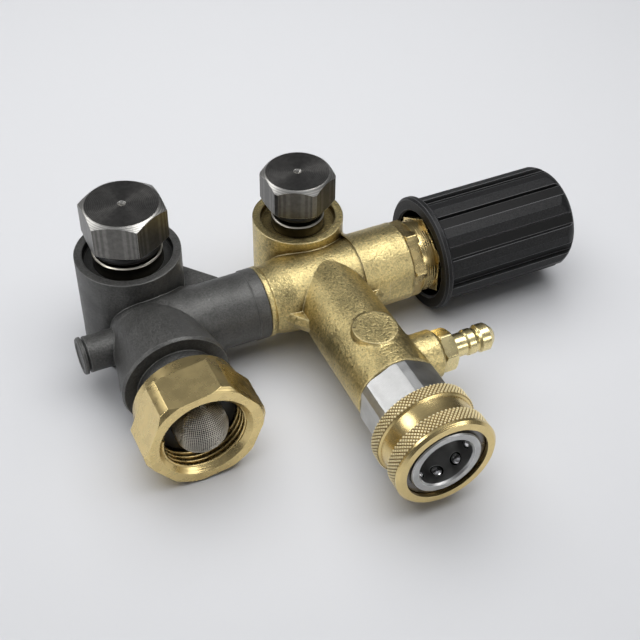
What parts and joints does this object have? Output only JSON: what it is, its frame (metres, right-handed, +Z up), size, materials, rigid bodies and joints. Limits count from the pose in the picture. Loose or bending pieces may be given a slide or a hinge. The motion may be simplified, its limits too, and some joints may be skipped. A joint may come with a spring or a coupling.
{
  "type": "pressure washer unloader valve",
  "caption": "Brass and grey pressure washer unloader valve with two banjo eyes, ribbed pressure knob, detergent hose barb, swivel inlet nut and quick coupler outlet.",
  "frame": {"origin": "centre of the outlet eye's bolt hole on the face that seats on the pump", "axes": "+Z up out of the eyes towards the bolt heads, +X along the main bore from the inlet body to the knob, -Y towards the hose connections"},
  "size_m": [0.1726, 0.1199, 0.0587],
  "materials": {
    "brass_cast": "cast and lightly tumbled",
    "brass_turned": "turned, bright",
    "grey_cast": "matte coated casting",
    "knob_plastic": "moulded",
    "white_plastic": "machined",
    "bolt_steel": "dark nickel plate",
    "socket_steel": "turned, bright",
    "spring_steel": "drawn wire",
    "ball_steel": "ground and polished",
    "filter_steel": "woven stainless mesh",
    "seal_rubber": "moulded"
  },
  "bodies": {
    "valve": {"valve_body": "brass_cast", "connector_oring": "seal_rubber", "bypass_seat": "brass_turned", "bypass_seat_oring": "seal_rubber", "bonnet": "brass_turned", "bonnet_oring": "seal_rubber", "inlet_body": "grey_cast", "inlet_nut_ring": "spring_steel", "hose_washer": "seal_rubber", "filter_rim": "filter_steel", "filter_screen": "filter_steel", "check_seat": "brass_turned", "check_seat_oring": "seal_rubber", "injector_nozzle": "brass_turned", "nozzle_oring": "seal_rubber", "coupler_socket": "socket_steel", "plug_seal": "seal_rubber", "sleeve_ring": "spring_steel", "barb_fitting": "brass_turned", "barb_oring": "seal_rubber", "check_spring": "spring_steel", "injector_spring": "spring_steel", "main_spring": "spring_steel", "sleeve_spring": "spring_steel"},
    "piston": {"piston_stem": "socket_steel", "valve_ball": "ball_steel", "piston_oring": "seal_rubber", "piston_backup": "white_plastic", "lower_spring_plate": "brass_turned"},
    "adjuster": {"upper_spring_plate": "brass_turned", "thrust_ball": "ball_steel"},
    "knob": {"knob": "knob_plastic", "knob_insert": "brass_turned"},
    "check": {"check_poppet": "white_plastic", "check_seal": "seal_rubber"},
    "injector": {"injector_ball": "ball_steel"},
    "swivel_nut": {"inlet_nut": "brass_turned"},
    "sleeve": {"coupler_sleeve": "brass_turned"},
    "outlet_seals": {"outlet_bolt_upper_oring": "seal_rubber", "outlet_bolt_lower_oring": "seal_rubber"},
    "outlet_bolt": {"outlet_bolt": "bolt_steel"},
    "inlet_seals": {"inlet_bolt_upper_oring": "seal_rubber", "inlet_bolt_lower_oring": "seal_rubber"},
    "inlet_bolt": {"inlet_bolt": "bolt_steel"},
    "lock_ball_1": {"lock_ball_1": "ball_steel"},
    "lock_ball_2": {"lock_ball_2": "ball_steel"},
    "lock_ball_3": {"lock_ball_3": "ball_steel"},
    "lock_ball_4": {"lock_ball_4": "ball_steel"},
    "lock_ball_5": {"lock_ball_5": "ball_steel"},
    "lock_ball_6": {"lock_ball_6": "ball_steel"},
    "lock_ball_7": {"lock_ball_7": "ball_steel"},
    "lock_ball_8": {"lock_ball_8": "ball_steel"}
  },
  "joints": [
    {"name": "knob_turn", "type": "hinge", "parent": "adjuster", "child": "knob", "pos_m": [0.07, -0.0183, 0.0157], "axis": [1, 0, 0], "range_deg": [-540, 720]},
    {"name": "adjuster_slide", "type": "slide", "parent": "valve", "child": "adjuster", "axis": [1, 0, 0], "range_m": [-0.0023, 0.0031], "deforming": ["main_spring"]},
    {"name": "piston_slide", "type": "slide", "parent": "valve", "child": "piston", "axis": [1, 0, 0], "range_m": [0, 0.0025], "stiffness_N_per_m": 2000},
    {"name": "check_lift", "type": "slide", "parent": "valve", "child": "check", "axis": [0, -1, 0], "range_m": [0, 0.003], "stiffness_N_per_m": 60, "deforming": ["check_spring"]},
    {"name": "injector_lift", "type": "slide", "parent": "valve", "child": "injector", "axis": [-1, 0, 0], "range_m": [0, 0.001], "stiffness_N_per_m": 20, "deforming": ["injector_spring"]},
    {"name": "nut_swivel", "type": "hinge", "parent": "valve", "child": "swivel_nut", "pos_m": [-0.0585, -0.055, 0.0157], "axis": [0, -1, 0], "continuous": true},
    {"name": "sleeve_slide", "type": "slide", "parent": "valve", "child": "sleeve", "axis": [0, 1, 0], "range_m": [0, 0.00285], "stiffness_N_per_m": 400, "deforming": ["sleeve_spring"]},
    {"name": "outlet_bolt_lift", "type": "slide", "parent": "valve", "child": "outlet_seals", "axis": [0, 0, 1], "range_m": [-0.0092, 0.03]},
    {"name": "outlet_bolt_turn", "type": "hinge", "parent": "outlet_seals", "child": "outlet_bolt", "pos_m": [0, 0, 0.02], "axis": [0, 0, 1], "continuous": true},
    {"name": "inlet_bolt_lift", "type": "slide", "parent": "valve", "child": "inlet_seals", "axis": [0, 0, 1], "range_m": [-0.009, 0.034]},
    {"name": "inlet_bolt_turn", "type": "hinge", "parent": "inlet_seals", "child": "inlet_bolt", "pos_m": [-0.0585, 0, 0.02], "axis": [0, 0, 1], "continuous": true},
    {"name": "lock_ball_1_slide", "type": "slide", "parent": "valve", "child": "lock_ball_1", "axis": [1, 0, 0], "range_m": [0, 0.00086]},
    {"name": "lock_ball_2_slide", "type": "slide", "parent": "valve", "child": "lock_ball_2", "axis": [0.7071, 0, 0.7071], "range_m": [0, 0.00086]},
    {"name": "lock_ball_3_slide", "type": "slide", "parent": "valve", "child": "lock_ball_3", "axis": [0, 0, 1], "range_m": [0, 0.00086]},
    {"name": "lock_ball_4_slide", "type": "slide", "parent": "valve", "child": "lock_ball_4", "axis": [-0.7071, 0, 0.7071], "range_m": [0, 0.00086]},
    {"name": "lock_ball_5_slide", "type": "slide", "parent": "valve", "child": "lock_ball_5", "axis": [-1, 0, 0], "range_m": [0, 0.00086]},
    {"name": "lock_ball_6_slide", "type": "slide", "parent": "valve", "child": "lock_ball_6", "axis": [-0.7071, 0, -0.7071], "range_m": [0, 0.00086]},
    {"name": "lock_ball_7_slide", "type": "slide", "parent": "valve", "child": "lock_ball_7", "axis": [0, 0, -1], "range_m": [0, 0.00086]},
    {"name": "lock_ball_8_slide", "type": "slide", "parent": "valve", "child": "lock_ball_8", "axis": [0.7071, 0, -0.7071], "range_m": [0, 0.00086]}
  ],
  "couplings": [
    {"joint": "adjuster_slide", "follows": "knob_turn", "m_per_rad": 0.00023873},
    {"joint": "lock_ball_1_slide", "follows": "sleeve_slide", "ratio": 0.3},
    {"joint": "lock_ball_2_slide", "follows": "sleeve_slide", "ratio": 0.3},
    {"joint": "lock_ball_3_slide", "follows": "sleeve_slide", "ratio": 0.3},
    {"joint": "lock_ball_4_slide", "follows": "sleeve_slide", "ratio": 0.3},
    {"joint": "lock_ball_5_slide", "follows": "sleeve_slide", "ratio": 0.3},
    {"joint": "lock_ball_6_slide", "follows": "sleeve_slide", "ratio": 0.3},
    {"joint": "lock_ball_7_slide", "follows": "sleeve_slide", "ratio": 0.3},
    {"joint": "lock_ball_8_slide", "follows": "sleeve_slide", "ratio": 0.3}
  ]
}
